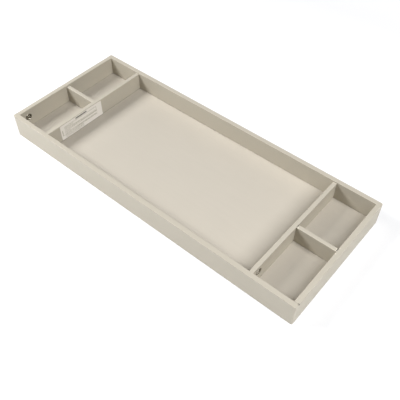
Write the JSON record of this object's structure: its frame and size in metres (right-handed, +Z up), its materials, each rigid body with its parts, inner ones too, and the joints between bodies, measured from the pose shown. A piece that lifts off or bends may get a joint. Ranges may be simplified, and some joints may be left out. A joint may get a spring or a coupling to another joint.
{
  "type": "changing tray",
  "caption": "Long low open tray of painted wood for a dresser top: a large well for a changing pad between two end spaces, each split by a divider into small bays.",
  "frame": {"origin": "middle of the underside, on the surface that the tray stands on", "axes": "+X along the length to the right end, +Y to the back, +Z up"},
  "size_m": [1.216, 0.485, 0.091],
  "materials": {
    "board_paint": "satin greige paint over wood, lightly brushed",
    "panel_paint": "satin greige paint over a thin panel",
    "zinc": "bare die-cast zinc, dull",
    "plated_steel": "zinc-plated steel",
    "beech": "bare beech, fluted",
    "paper": "off-white paper, matt"
  },
  "bodies": {
    "tray": {"front_rail": "board_paint", "back_rail": "board_paint", "left_end_board": "board_paint", "right_end_board": "board_paint", "left_partition": "board_paint", "right_partition": "board_paint", "left_divider": "board_paint", "right_divider": "board_paint", "floor_panel": "panel_paint", "blank_label": "paper", "left_end_cam_bolt": "plated_steel", "left_partition_cam_bolt": "plated_steel", "right_partition_cam_bolt": "plated_steel", "right_end_cam_bolt": "plated_steel", "left_end_connector_screw": "plated_steel", "left_partition_connector_screw": "plated_steel", "right_partition_connector_screw": "plated_steel", "right_end_connector_screw": "plated_steel", "left_end_front_dowel": "beech", "left_end_back_dowel": "beech", "left_partition_front_dowel": "beech", "left_partition_back_dowel": "beech", "right_partition_front_dowel": "beech", "right_partition_back_dowel": "beech", "right_end_front_dowel": "beech", "right_end_back_dowel": "beech", "left_divider_partition_lower_peg": "beech", "left_divider_partition_upper_peg": "beech", "left_divider_end_lower_peg": "beech", "left_divider_end_upper_peg": "beech", "right_divider_partition_lower_peg": "beech", "right_divider_partition_upper_peg": "beech", "right_divider_end_lower_peg": "beech", "right_divider_end_upper_peg": "beech"},
    "left_end_cam": {"left_end_cam_lock": "zinc"},
    "left_partition_cam": {"left_partition_cam_lock": "zinc"},
    "right_partition_cam": {"right_partition_cam_lock": "zinc"},
    "right_end_cam": {"right_end_cam_lock": "zinc"}
  },
  "joints": [
    {"name": "left_end_cam_turn", "type": "hinge", "parent": "tray", "child": "left_end_cam", "pos_m": [-0.5923, -0.1935, 0.0595], "axis": [1, 0, 0], "range_deg": [0, 180]},
    {"name": "left_partition_cam_turn", "type": "hinge", "parent": "tray", "child": "left_partition_cam", "pos_m": [-0.4517, -0.1935, 0.0595], "axis": [-1, 0, 0], "range_deg": [0, 180]},
    {"name": "right_partition_cam_turn", "type": "hinge", "parent": "tray", "child": "right_partition_cam", "pos_m": [0.4517, -0.1935, 0.0595], "axis": [1, 0, 0], "range_deg": [0, 180]},
    {"name": "right_end_cam_turn", "type": "hinge", "parent": "tray", "child": "right_end_cam", "pos_m": [0.5923, -0.1935, 0.0595], "axis": [-1, 0, 0], "range_deg": [0, 180]}
  ]
}
